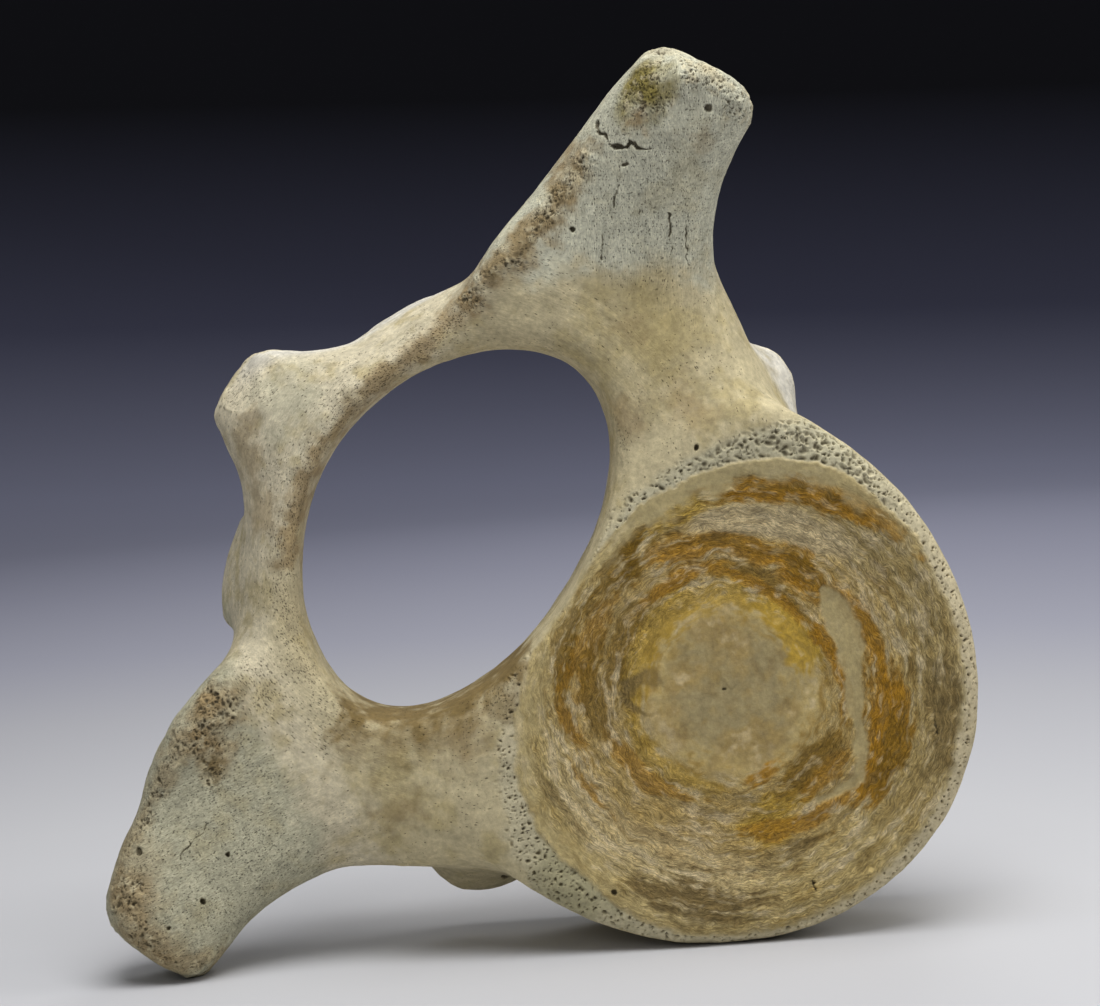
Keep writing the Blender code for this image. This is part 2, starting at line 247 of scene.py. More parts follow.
# Stains along lines: the points they pass, breadth on each side, colour, strength.
STAIN_LINES = (
    (((-56, 194), (-29, 203), (-8, 209), (10, 208), (30, 204), (54, 197), (75, 191), (92, 185)), 8, OCHRE, 0.85),
    (((-50, 200), (-66, 188), (-82, 174), (-93, 158)), 9, OCHRE, 0.15),
    (((-102, 134), (-92, 120), (-88, 110), (-76, 96), (-60, 86), (-40, 80)), 15, BROWN, 1.0),
    (((-106, 122), (-94, 102), (-80, 86)), 24, BROWN, 0.45),
    (((174, 181), (150, 177), (128, 179), (111, 184), (92, 188)), 13, OCHRE, 0.85),
    (((166, 178), (150, 177), (128, 180), (108, 185)), 8, BROWN, 0.45),
    (((-14, 244), (-27, 236), (-36, 225), (-48, 212)), 9, OCHRE, 0.55),
    (((-50, 93), (-42, 84), (-36, 78)), 12, BROWN, 0.8),
    (((-150, 190), (-174, 186), (-206, 186), (-222, 178), (-236, 152), (-235, 133), (-224, 122)), 9, OCHRE, 0.55),
)

# Where the bone is rough and open: x, z, radius.
ROUGH_PATCHES = (
    (-130, 186, 15),
    (-144, 180, 15),
    (-154, 171, 8),
    (-221, 174, 12),
    (-232, 157, 11),
)
ROUGH_LINES = (
    (((172, 180), (150, 177), (128, 179), (111, 184), (92, 188)), 9),
    (((-150, 190), (-174, 186), (-206, 186), (-222, 178), (-236, 152), (-235, 133), (-224, 122)), 8),
)

# Where the bone is finely rough: x, z, radius.
MOTTLED_PATCHES = (
    (212, 173, 15),
    (223, 176, 11),
    (233, 161, 11),
    (236, 148, 10),
    (229, 133, 9),
)

# Where small pores crowd: x, z, radius, strength.
PORE_PATCHES = (
    (30, 212, 26, 0.5),
    (-2, 252, 16, 0.8),
    (-22, 214, 18, 0.5),
    (190, 152, 36, 0.5),
    (-160, 150, 40, 0.4),
    (-205, 140, 36, 0.55),
    (-100, 140, 22, 0.5),
    (-113, 172, 24, 0.6),
    (100, 90, 16, 0.3),
    (70, 100, 14, 0.7),
    (-62, 82, 22, 0.4),
)
PORE_LINES = (
    (((-56, 194), (-29, 203), (-8, 209), (10, 208), (30, 204), (54, 197), (75, 191), (92, 185)), 11, 0.95),
    (((-50, 200), (-66, 188), (-82, 174), (-93, 158)), 13, 0.8),
)

# Single holes: x, z, radius, depth.
HOLES = (
    (143.1, 165.5, 1.5, 3.0),
    (221.3, 142.7, 2.2, 2.0),
    (-182.0, 143.4, 1.3, 2.5),
    (-205.2, 141.5, 1.6, 3.0),
    (-223.1, 148.3, 1.1, 2.0),
    (-203.0, 178.6, 2.2, 1.5),
    (-100.8, -14.0, 1.5, 2.5),
    (90.4, 64.7, 1.6, 3.0),
    (4.5, -6.2, 0.9, 1.5),
    (-48.0, -88.7, 1.0, 1.5),
    (-130.2, 26.7, 2.0, 3.0),
)

# Cracks and furrows: the points they pass, breadth, depth.
CRACKS = (
    (((189.5, 181.5), (187.1, 179.5), (184.8, 171.2), (185.7, 166.2)), 2.9, 3.0),
    (((185.7, 166.2), (189.5, 165.0), (190.5, 158.5), (192.6, 156.0)), 2.2, 2.4),
    (((180.0, 162.5), (181.2, 160.5)), 2.6, 1.5),
    (((171.6, 159.2), (162.0, 155.1)), 1.3, 1.1),
    (((148.6, 152.8), (138.3, 146.2)), 1.2, 1.0),
    (((173.0, 132.1), (165.0, 126.5), (156.2, 120.0)), 1.3, 1.1),
    (((173.2, 123.5), (165.0, 118.0), (157.9, 110.7)), 1.3, 1.1),
    (((166.9, 144.9), (160.4, 141.7)), 1.1, 0.9),
    (((-175.6, 158.0), (-184.9, 159.9), (-194.9, 161.6)), 1.1, 0.9),
    (((-200.3, 166.3), (-197.6, 168.5), (-195.1, 166.6), (-195.5, 163.7)), 1.1, 0.9),
    (((52.3, -88.5), (47.0, -91.5), (40.0, -98.5)), 1.4, 1.0),
    (((-46.0, -87.5), (-50.0, -90.5)), 1.2, 1.2),
)

# Crests: the points they pass, height, breadth of each side.
CRESTS = (
    (((26, 211), (51, 201), (70, 195), (90, 189.5), (112, 184.5), (136, 180)), 1.5, 6.0),
    (((236, 169), (222, 163), (211, 158), (203, 154)), 2.0, 4.5),
    (((15, 259), (5, 249), (-4, 241)), 0.9, 6.0),
)

# Where the form stands out more, or less if negative: x, z and y, how far, and the radius of the foot.
BUMPS = (
    (-20, 260, 12, 1.5, 10),
    (234, 138, -44, 2.2, 14),
    (237, 151, -49, 1.8, 14),
    (234, 173, -45, -3.4, 15),
    (226, 160, -53, 1.6, 12),
    (219, 146, -53, -1.6, 13),
    (-146, 194, -30, 1.5, 14),
)

# Faces that end in edges: a point on the face, its outward direction, and how far round it the face may reach.
FACETS = (
    ((-2.0, 7.1, 254.3), (0.163, -0.678, 0.716), 29),
)

# What the unseen rear plate repeats of the front one's stains: turned by, and how strongly.
REAR_TURN = 150
REAR_STRENGTH = 0.7


def pose_matrix():
    """Takes a point of the upright frame, in millimetres, to its place in the world, in metres."""
    turn = Matrix.Rotation(radians(LEAN_DEGREES), 4, "X") @ Matrix.Rotation(radians(-ROLL_DEGREES), 4, "Y")
    return Matrix.Translation(Vector(ORIGIN) * MM) @ turn @ Matrix.Scale(MM, 4)


POSE = pose_matrix()
POSE_TURN = np.array(POSE.to_3x3().normalized())


def transformed(matrix, points):
    m = np.array(matrix)
    return points @ m[:3, :3].T + m[:3, 3]


def numbers(items, name, width):
    flat = np.empty(len(items) * width)
    items.foreach_get(name, flat)
    return flat.reshape(-1, width)


def upright(mesh):
    """Each vertex's place and normal in the upright frame."""
    points = transformed(POSE.inverted(), numbers(mesh.vertices, "co", 3))
    return points, numbers(mesh.vertices, "normal", 3) @ POSE_TURN


def place_upright(mesh, points):
    mesh.vertices.foreach_set("co", transformed(POSE, points).ravel())
    mesh.update()


# Patterns


def smooth_step(low, high, value):
    share = np.clip((value - low) / (high - low), 0, 1)
    return share * share * (3 - 2 * share)


def cell_number(cells, seed):
    """A number from 0 to 1 for each cell of a lattice, given as whole-number triples."""
    n = cells.astype(np.int64).astype(np.uint32)
    mixed = n[..., 0] * np.uint32(73856093) ^ n[..., 1] * np.uint32(19349663) ^ n[..., 2] * np.uint32(83492791)
    mixed ^= np.uint32(seed * 40503 + 977)
    for shift in (15, 12, 14):
        mixed = (mixed ^ (mixed >> np.uint32(shift))) * np.uint32(2246822519)
    return (mixed ^ (mixed >> np.uint32(15))) / 4294967295.0


def noise(points, size, seed):
    """Smooth noise from -1 to 1 that varies over about size."""
    scaled = points / size
    base = np.floor(scaled)
    share = scaled - base
    share = share * share * (3 - 2 * share)
    total = np.zeros(len(points))
    for corner in np.ndindex(2, 2, 2):
        weight = np.prod(np.where(corner, share, 1 - share), axis=1)
        total += weight * cell_number(base + corner, seed)
    return 2 * total - 1


def fractal(points, size, seed, octaves=3):
    """Noise with finer and weaker noise on it."""
    return sum(noise(points, size / 2 ** k, seed + k) / 2 ** k for k in range(octaves))


def scatter(points, cell, least, most, seed):
    """How deep each point lies in a scatter of round pits, one to a cell, from 0 at their edge to 1."""
    size = points.shape[1]
    base = np.floor(points / cell)
    deepest = np.zeros(len(points))
    for step in np.ndindex(*(3,) * size):
        cells = np.zeros((len(points), 3))
        cells[:, :size] = base + np.array(step) - 1
        middle = np.stack([cell_number(cells, seed + k) for k in range(size)], axis=1)
        radius = least + (most - least) * cell_number(cells, seed + 3)
        away = np.linalg.norm((cells[:, :size] + 0.1 + 0.8 * middle) * cell - points, axis=1)
        deepest = np.maximum(deepest, 1 - away / radius)
    return np.sqrt(deepest)


def warped(points, size, amount, seed):
    """The points pushed about by noise, to break up round shapes."""
    return points + amount * np.stack([noise(points, size, seed + k) for k in range(3)], axis=1)


def patch_share(points, x, z, radius, seed, softness=0.65):
    """A blotch with a ragged edge round a place on the front."""
    near = np.hypot(points[:, 0] - x, points[:, 2] - z) < radius * 1.8
    share = np.zeros(len(points))
    here = points[near]
    away = np.hypot(here[:, 0] - x, here[:, 2] - z) / radius + 0.4 * fractal(here, radius / 2, seed, 5)
    share[near] = smooth_step(1.1, 1.1 - softness, away)
    return share


def line_distance(points, line):
    """How far each point lies from a line of straight pieces, seen from the front."""
    place = points[:, [0, 2]]
    nearest = np.full(len(points), np.inf)
    for start, end in zip(line, line[1:]):
        start, along = np.array(start), np.subtract(end, start)
        share = np.clip((place - start) @ along / (along @ along), 0, 1)
        nearest = np.minimum(nearest, np.linalg.norm(place - start - share[:, None] * along, axis=1))
    return nearest


# The surface of the bone


def neighbour_means(points, ends):
    """The mean of each point's neighbours along the edges."""
    count = np.bincount(ends.ravel(), minlength=len(points))
    total = [np.bincount(ends[:, 0], points[ends[:, 1], k], len(points))
             + np.bincount(ends[:, 1], points[ends[:, 0], k], len(points)) for k in range(3)]
    return np.stack(total, axis=1) / count[:, None]


def smoothed(points, ends, steps, share=0.6):
    for _ in range(steps):
        points = points + share * (neighbour_means(points, ends) - points)
    return points


def closed_node(node):
    """The node's mesh as one closed surface, grown a little so that it overlaps its neighbours across the cuts."""
    bm = bmesh.new()
    bm.from_mesh(node.data)
    bmesh.ops.remove_doubles(bm, verts=bm.verts, dist=1e-6)
    bm.normal_update()
    grown = [vert.co + vert.normal * CUT_OVERLAP * MM for vert in bm.verts]
    for vert, place in zip(bm.verts, grown):
        vert.co = place
    return bm


def joined_bone(nodes):
    """All the nodes' surfaces in one mesh object."""
    whole = bmesh.new()
    for node in nodes:
        bm = closed_node(node)
        made = [whole.verts.new(vert.co) for vert in bm.verts]
        for face in bm.faces:
            whole.faces.new([made[vert.index] for vert in face.verts])
        bm.free()
    mesh = bpy.data.meshes.new("bone_skin")
    whole.to_mesh(mesh)
    whole.free()
    obj = bpy.data.objects.new("bone_skin", mesh)
    bpy.context.scene.collection.objects.link(obj)
    return obj


def remesh(obj):
    modifier = obj.modifiers.new("Remesh", "REMESH")
    modifier.mode = "VOXEL"
    modifier.voxel_size = VOXEL * MM
    graph = bpy.context.evaluated_depsgraph_get()
    obj.data = bpy.data.meshes.new_from_object(obj.evaluated_get(graph))
    obj.modifiers.clear()


def edge_ends(mesh):
    return numbers(mesh.edges, "vertices", 2).astype(np.int64)


def soften(mesh):
    """Rounds off the flat faces of the coarse model. Edges of the real form keep most of their sharpness."""
    points, facing = upright(mesh)
    ends = edge_ends(mesh)
    smooth = smoothed(points, ends, SMOOTHING_STEPS)
    lost = ((points - smooth) * facing).sum(axis=1, keepdims=True)
    smooth += facing * (lost - np.clip(lost, -LARGEST_MOVE, LARGEST_MOVE))
    smooth = smoothed(smooth, ends, 4)
    place_upright(mesh, smooth - facing * CUT_OVERLAP)


def carve_facets(mesh):
    """Planes off what stands beyond each facet, so that it ends in edges."""
    points, _ = upright(mesh)
    for middle, outward, reach in FACETS:
        away = points - middle
        outward = np.array(outward) / np.linalg.norm(outward)
        proud = away @ outward
        near = smooth_step(reach, reach * 0.7, np.linalg.norm(away, axis=1))
        points -= outward * (np.maximum(proud, 0) * near)[:, None]
    place_upright(mesh, smoothed(points, edge_ends(mesh), 2, 0.4))


def refine(mesh):
    """Halves the mesh spacing on the faces that look forwards."""
    facing = numbers(mesh.polygons, "normal", 3) @ POSE_TURN
    bm = bmesh.new()
    bm.from_mesh(mesh)
    bm.faces.ensure_lookup_table()
    edges = {edge for index in np.flatnonzero(facing[:, 1] < -0.3) for edge in bm.faces[index].edges}
    edges = sorted(edges, key=lambda edge: edge.index)
    bmesh.ops.subdivide_edges(bm, edges=edges, cuts=1, use_grid_fill=True)
    bm.to_mesh(mesh)
    bm.free()


def plate_fields(points, is_front):
    """Each point's distance inside the edge of the end plate that it faces, and its angle and radius in its rings."""
    middle, half, rings = (np.where(is_front[:, None], *pair) for pair in zip(FRONT_PLATE, REAR_PLATE))
    x, z = points[:, 0] - middle[:, 0], points[:, 2] - middle[:, 1]
    power = np.where(z > 0, PLATE_POWER_ABOVE, PLATE_POWER_BELOW)
    share = (np.abs(x / half[:, 0]) ** power + np.abs(z / half[:, 1]) ** power) ** (1 / power)
    from_middle = np.hypot(x, z)
    x, z = points[:, 0] - rings[:, 0], points[:, 2] - rings[:, 1]
    return from_middle / np.maximum(share, 1e-3) - from_middle, np.degrees(np.arctan2(z, x)), np.hypot(x, z)


def round_plate(angle, column):
    """A column of the band's table, at each angle."""
    rows = np.array(BAND)
    return np.interp(angle, rows[:, 0], rows[:, BAND_COLUMNS.index(column)])


def bone_fields(points, facing, convex):
    """What each point of the skin is: shares from 0 to 1, angles in degrees and distances."""
    is_front = facing[:, 1] < 0
    front = smooth_step(0.2, 0.55, -facing[:, 1])
    forward = smooth_step(-0.4, 0.1, -facing[:, 1]) * smooth_step(45, 5, points[:, 1])
    ended = smooth_step(0.2, 0.55, np.abs(facing[:, 1]))
    on_centrum = smooth_step(CENTRUM_TOP + 6, CENTRUM_TOP - 10, points[:, 2])
    inset, angle, away = plate_fields(points, is_front)
    inset = inset - round_plate(angle, "reach_in") + PLATE_WOBBLE * fractal(points, 14, 11) + 0.8 * fractal(points, 3, 15, 2)
    pale = round_plate(angle, "pale")
    blur = 0.5 + 2.0 * (1 - pale)
    plate = smooth_step(-blur, blur, inset) * ended * on_centrum
    breadth = round_plate(angle, "breadth") + 3 * noise(points, 9, 31)
    in_band = smooth_step(-0.5, -1.5, inset) * smooth_step(-breadth - 3, -breadth + 3, inset)
    border = smooth_step(13, 4, inset + 4.5 * fractal(points, 9, 21, 4)) * pale * plate
    return {
        "is_front": is_front,
        "front": front,
        "forward": forward,
        "angle": angle,
        "away": away,
        "wander": 3.0 * fractal(points, 28, 111),
        "inset": inset,
        "plate": plate,
        "band": in_band * ended * on_centrum,
        "band_density": round_plate(angle, "density"),
        "grey": round_plate(angle, "grey"),
        "pale": pale,
        "border": border,
        "fibres": plate * (1 - border) * smooth_step(34, 50, away),
        "centrum": on_centrum,
        "convex": convex,
        "wing": smooth_step(2, 14, points[:, 1]) * np.maximum(1 - on_centrum, beyond_centrum(points)),
        "rough": rough_share(points, front, convex),
    }


def beyond_centrum(points):
    (x, z), (breadth, height), _ = FRONT_PLATE
    return smooth_step(CENTRUM_EDGE, CENTRUM_EDGE + 8, np.hypot(points[:, 0] - x, (points[:, 2] - z) * breadth / height))


def process_reach(points):
    """How far out along its transverse process each point lies."""
    left = points[:, [0, 2]] @ np.array(LEFT_GROWTH)
    right = points[:, [0, 2]] @ np.array(RIGHT_GROWTH)
    return np.where(points[:, 0] > 0, left, right)


def line_share(points, line, breadth, seed):
    """A strip with a ragged edge along a line, seen from the front."""
    away = line_distance(points, line)
    near = away < breadth * 2
    share = np.zeros(len(points))
    share[near] = smooth_step(breadth, 0, away[near] + 0.5 * breadth * fractal(points[near], 7, seed, 5))
    return share


def rough_share(points, front, convex):
    share = smooth_step(0.15, 0.5, convex) * smooth_step(238, 256, process_reach(points)) * (points[:, 2] > 95)
    for x, z, radius in ROUGH_PATCHES:
        share = np.maximum(share, patch_share(points, x, z, radius, 121) * front)
    for line, breadth in ROUGH_LINES:
        share = np.maximum(share, line_share(points, line, breadth, 125) * front)
    return share


def mottled_share(points, front):
    share = np.zeros(len(points))
    for x, z, radius in MOTTLED_PATCHES:
        share = np.maximum(share, patch_share(points, x, z, radius, 128) * front)
    return share


def pit_depths(points, fields):
    """The pits of the bands round the plates, from 0 to 1."""
    depths = np.zeros(len(points))
    chosen = fields["band"] > 0.02
    here = warped(warped(points[chosen], 3.0, 0.9, 41), 1.4, 0.45, 44)
    flat = here[:, [0, 2]]
    size = 0.6 + 0.4 * fields["grey"][chosen]
    dense = np.maximum(scatter(here, 3.1, 0.7, 2.0, 51), 0.8 * scatter(here, 2.0, 0.3, 1.15, 55))
    spaced = np.maximum(scatter(flat, 3.4, 0.25 * size, 1.2 * size, 57), 0.6 * scatter(flat, 2.3, 0.0, 0.6 * size, 61))
    crowded = smooth_step(0.82, 0.97, fields["band_density"][chosen] + 0.08 * fractal(here, 9, 65))
    depths[chosen] = (spaced + (dense - spaced) * crowded) * fields["band"][chosen]
    return depths


def rough_pits(points, fields):
    """The open bone of the rough places, from 0 to 1."""
    depths = np.zeros(len(points))
    chosen = (fields["rough"] > 0.02) | (fields["mottled"] > 0.02)
    here = warped(warped(points[chosen], 3.0, 0.8, 131), 1.2, 0.4, 134)
    large = np.maximum(scatter(here, 2.5, 0.5, 1.4, 135), 0.7 * scatter(here, 1.6, 0.1, 0.8, 139))
    large *= smooth_step(-0.9, -0.2, noise(here, 6, 143))
    fine = scatter(here, 1.5, 0.3, 0.9, 145)
    depths[chosen] = np.maximum(large * fields["rough"][chosen], 0.8 * fine * fields["mottled"][chosen])
    return depths


def crescent_share(points, fields):
    angles, radius, breadth = np.array(CRESCENT_LINE).T
    middle = np.interp(fields["angle"], angles, radius)
    half = np.interp(fields["angle"], angles, breadth) / 2
    inside = (fields["angle"] > angles[0]) & (fields["angle"] < angles[-1]) & fields["is_front"]
    away = np.abs(fields["away"] + 1.6 * fractal(points, 7, 119, 4) - middle)
    return smooth_step(half + 1.2, half - 1.2, away) * inside * fields["plate"]


def crack_depths(points, fields):
    """How deep the cracks and holes go, in millimetres."""
    depths = np.zeros(len(points))
    front = np.flatnonzero(fields["front"] > 0.5)
    here = warped(warped(points[front], 4.0, 1.3, 141), 1.3, 0.5, 144)
    uneven = np.clip(0.85 + 0.9 * noise(here, 3.2, 147), 0.3, 1.5)
    for line, breadth, depth in CRACKS:
        share = smooth_step(breadth / 2, 0, line_distance(here, line) / uneven)
        depths[front] = np.maximum(depths[front], depth * share * uneven)
    here = warped(points[front], 2.0, 0.5, 149)
    for x, z, radius, depth in HOLES:
        away = np.hypot(here[:, 0] - x, here[:, 2] - z)
        depths[front] = np.maximum(depths[front], depth * smooth_step(radius, radius * 0.4, away))
    return depths


def relief(points, fields):
    """How far each point stands out from the plain form, in millimetres."""
    lumps = fractal(points, 9, 65)
    height = 0.35 * fractal(points, 26, 61) + 0.18 * lumps
    height += 0.7 * lumps * smooth_step(0.1, 0.6, fields["convex"]) * (1 - fields["centrum"])
    height += plate_relief(points, fields)
    height += fields["rough"] * (0.4 + 0.8 * fractal(points, 5, 151)) + 0.6 * fields["mottled"] * fractal(points, 5, 155, 4)
    height += 1.0 * ridge_height(points) * fields["front"] + fields["serrated"] * serration(points)
    for x, z, y, rise, radius in BUMPS:
        height += rise * smooth_step(radius, 0, np.linalg.norm(points - (x, y, z), axis=1))
    return height - 1.1 * fields["rough_pits"] - 1.8 * fields["pits"] - fields["cracks"]


def plate_relief(points, fields):
    """The raised end plates with their growth rings, their strands, and the crescent where the strands are missing."""
    away, fibre_at = fields["away"], fields["fibre_at"]
    rise = PLATE_RISE * (0.35 + 0.65 * fields["pale"])
    dish = -1.2 * smooth_step(30, 62, away) * smooth_step(112, 80, away)
    rings = 0.22 * np.sin(away * 2 * pi / 9 + 2.5 * fractal(points, 30, 71))
    strands = 0.17 * noise(fibre_at, 1.3, 75) + 0.15 * noise(fibre_at, 0.8, 76)
    return fields["plate"] * (rise + dish) + fields["fibres"] * (rings + strands) - 0.7 * fields["crescent"]


def serration(points):
    """The torn edges of the wings."""
    return 2.0 * noise(points, 3.8, 157) + 1.0 * noise(points, 2.2, 158)


def ridge_height(points):
    """The crests, each with a shallow hollow on both sides."""
    height = np.zeros(len(points))
    for line, rise, breadth in CRESTS:
        distance = line_distance(points, line)
        hollow = 0.3 * smooth_step(breadth, 0, np.abs(distance - 2 * breadth))
        height += rise * (smooth_step(breadth, 0, distance) - hollow)
    return height


def stretched_places(points, fields):
    """Coordinates drawn out along the fibres: round the end plates, round the canal, and out along the processes."""
    ring = FIBRE_TURN_RADIUS
    turn = np.radians(fields["angle"])
    waver = 1.7 * fractal(points, 7, 171)
    plate = np.stack([ring * np.cos(turn), ring * np.sin(turn), fields["away"] + waver], axis=1)
    x, z = points[:, 0] - CANAL_MIDDLE[0], points[:, 2] - CANAL_MIDDLE[1]
    round_canal = CANAL_RADIUS * np.arctan2(x, z)
    arch = np.stack([round_canal / 4, np.hypot(x, z), points[:, 1]], axis=1)
    growth = np.where(points[:, :1] > 0, LEFT_GROWTH, RIGHT_GROWTH)
    along = (points[:, [0, 2]] * growth).sum(axis=1)
    across = points[:, 2] * growth[:, 0] - points[:, 0] * growth[:, 1]
    process = np.stack([along / 4, across, points[:, 1]], axis=1)
    outside = (np.abs(points[:, 0]) > PROCESS_START)[:, None]
    on_plate = ((fields["plate"] > 0) & (np.abs(points[:, 1]) > 20))[:, None]
    return np.where(on_plate, plate, np.where(outside, process, arch))


def grain_share(points, fields):
    """How plainly the lengthwise grain of the arch and processes shows."""
    from_start = np.abs(np.abs(points[:, 0]) - PROCESS_START)
    share = smooth_step(0, 10, from_start) * (1 - fields["centrum"])
    return share * (0.55 + 0.45 * smooth_step(175, 205, process_reach(points)))


# Colouring


def mixed(base, colour, share):
    return base + (np.array(colour) - base) * share[:, None]


def painted(points, facing, fields):
    """The colour of each point of the skin."""
    base = plain_colours(points, facing, fields)
    band = mixed(np.tile(np.array(BAND_TAN), (len(points), 1)), BAND_GREY, fields["grey"])
    base = mixed(base, band, 0.85 * fields["band"])
    for x, z, radius, colour, strength in PATCHES:
        base = mixed(base, colour, strength * patch_share(points, x, z, radius, 91, 1.0) * fields["front"])
    for line, breadth, colour, strength in STAIN_LINES:
        base = mixed(base, colour, strength * line_share(points, line, breadth, 97) * fields["forward"])
    loose = np.maximum(fields["rough"], fields["mottled"])
    base = mixed(base, EDGE, 0.6 * loose * smooth_step(0.0, 0.7, fractal(points, 3.5, 99)))
    chosen = fields["plate"] > 0
    on_plate = {name: values[chosen] for name, values in fields.items()}
    base[chosen] = mixed(base[chosen], face_colours(points[chosen], on_plate), on_plate["plate"])
    along = fractal(fields["fibre_at"], 2.6, 95) * (1 - fields["plate"])
    base = base * (1 + 0.09 * fractal(points, 6, 93, 4) + 0.10 * along)[:, None]
    # Painted shade: the pits, open bone and cracks, already carved into the relief, are also painted near black.
    base = mixed(base, PIT_SHADE, 0.95 * smooth_step(0.2, 0.7, fields["rough_pits"]))
    base = mixed(base, PIT_SHADE, 0.85 * smooth_step(0.25, 0.85, fields["pits"]))
    return mixed(base, PIT_SHADE, 0.85 * smooth_step(0.2, 0.8, fields["cracks"]))


def plain_colours(points, facing, fields):
    """The bone's colour without its stains, with painted light and shade on the processes, far wings, edges and
    hollows.
    """
    base = np.tile(np.array(CREAM), (len(points), 1))
    blotch = fractal(points, 24, 81)
    fine = fractal(points, 5, 87)
    convex = fields["convex"]
    high = smooth_step(165, 215, points[:, 2] + 10 * blotch) * smooth_step(130, 90, np.abs(points[:, 0]))
    base = mixed(base, PALE, high)
    reach = process_reach(points)
    above = smooth_step(60, 90, points[:, 2])
    # Painted light and shade: the upper, +X process gets the lighter grey and the lower, -X process the darker one.
    greys_lit_and_shaded = np.where(points[:, :1] > 0, GREY_WITH_PAINTED_LIGHT, GREY_WITH_PAINTED_SHADE)
    base = mixed(base, PALE, 0.8 * smooth_step(150, 175, reach + 8 * blotch) * above * (points[:, 0] < 0))
    grey = 0.95 * smooth_step(180, 200, reach + 9 * blotch + 5 * fine) * above
    base = mixed(base, greys_lit_and_shaded, grey)
    base = mixed(base, PINKISH, 0.7 * smooth_step(0.1, 0.6, facing[:, 1] + 0.2 * blotch) * (1 - fields["centrum"]))
    # Painted light: the far wings are made pale only on the +X side, where the light from above reaches them, not on
    # the -X side, which is in shade.
    base = mixed(base, PALE_WING_AND_PAINTED_LIGHT, 0.85 * fields["wing"] * smooth_step(-10, 20, points[:, 0]))
    base = mixed(base, TAN, (0.6 - 0.35 * grey) * smooth_step(-0.2, 1.2, fractal(points, 14, 85, 4) + 0.6 * fine))
    # Painted light and shade by curvature: convex edges painted lighter and yellower, hollows painted darker brown.
    base = mixed(base, EDGE, 0.75 * smooth_step(0.1, 0.7, convex + 0.08 * fine))
    return mixed(base, BROWN, 0.45 * smooth_step(0.05, 0.6, -convex + 0.1 * fine))


def face_colours(points, fields):
    """The stained rings of the end plates."""
    streak = fractal(fields["fibre_at"], 1.8, 101)
    cloud = fractal(points, 13, 105, 5)
    speck = fractal(points, 3.0, 107, 3)
    turn = np.radians(fields["angle"])
    away = fields["away"] + fields["wander"]
    lines = fractal(np.stack([7 * np.cos(turn), 7 * np.sin(turn), away + 1.5 * cloud], axis=1), 3.0, 113)
    angle = np.where(fields["is_front"], fields["angle"], REAR_TURN - fields["angle"]) + 7 * cloud
    power = np.where(fields["is_front"], 1, REAR_STRENGTH)
    base = rings_ground(points, fields, streak, cloud, speck, lines)
    ragged = 0.6 * streak + 0.3 * cloud + 0.4 * speck + 0.4 * lines
    stained = np.zeros(len(points))
    for start, end, start_radius, end_radius, breadth, colour, strength in ARCS:
        middle, half = (start + end) / 2, (end - start) / 2
        turned = (angle - middle + 180) % 360 - 180
        radius = start_radius + (end_radius - start_radius) * np.clip((turned / half + 1) / 2, 0, 1)
        inside = np.minimum((half - np.abs(turned)) / 12, 0.9) - (np.abs(away - radius) / breadth) ** 2
        share = strength * power * smooth_step(-0.75, 0.6, inside + ragged)
        base = mixed(base, colour, share)
        stained = np.maximum(stained, share)
    base = mixed(base, BROWN, 0.45 * stained * smooth_step(0.1, 0.8, streak + 0.4 * speck))
    base = mixed(base, FACE_PALE, 0.4 * stained * smooth_step(0.2, 0.9, -streak - 0.4 * speck))
    base = mixed(base, CRESCENT, 0.85 * fields["crescent"])
    base = mixed(base, BROWN, 0.85 * curl_share(points) * fields["front"])
    return mixed(base, FACE_BORDER, 0.8 * fields["border"])


def rings_ground(points, fields, streak, cloud, speck, lines):
    """What lies under the stains: a mottled middle, and pale and dark strands outside it."""
    outside = smooth_step(24, 46, fields["away"] + 10 * cloud + 4 * streak)
    base = np.tile(np.array(CENTRE), (len(points), 1))
    base = mixed(base, CENTRE_GREY, smooth_step(-0.4, 0.5, cloud))
    base = mixed(base, FACE_PALE, 0.5 * smooth_step(0.1, 1.0, -cloud + 0.4 * speck))
    base = mixed(base, BROWN, 0.5 * smooth_step(0.1, 1.0, fractal(points, 11, 109, 5) + 0.4 * speck))
    base = mixed(base, FACE, outside)
    tone = 0.5 * cloud + 0.55 * streak + 0.45 * lines + 0.2 * speck
    base = mixed(base, FACE_DARK, 0.75 * smooth_step(0.0, 0.9, tone) * outside)
    return mixed(base, FACE_PALE, 0.8 * smooth_step(0.0, 0.8, -tone) * outside)


def curl_share(points):
    x, z, radius, breadth = CURL
    near = np.hypot(points[:, 0] - x, points[:, 2] - z) < radius * 3
    share = np.zeros(len(points))
    here = warped(warped(points[near], 7, 3.0, 115), 2.5, 1.5, 118)
    across = here[:, [0, 2]] - (x, z)
    away = np.hypot(across[:, 0], across[:, 1])
    back = smooth_step(-1.1, 0.5, across @ np.array(CURL_BACK) / np.maximum(away, 0.1))
    share[near] = smooth_step(1, 0.2, np.abs(away - radius) / (breadth * back + 0.1)) * back
    return share


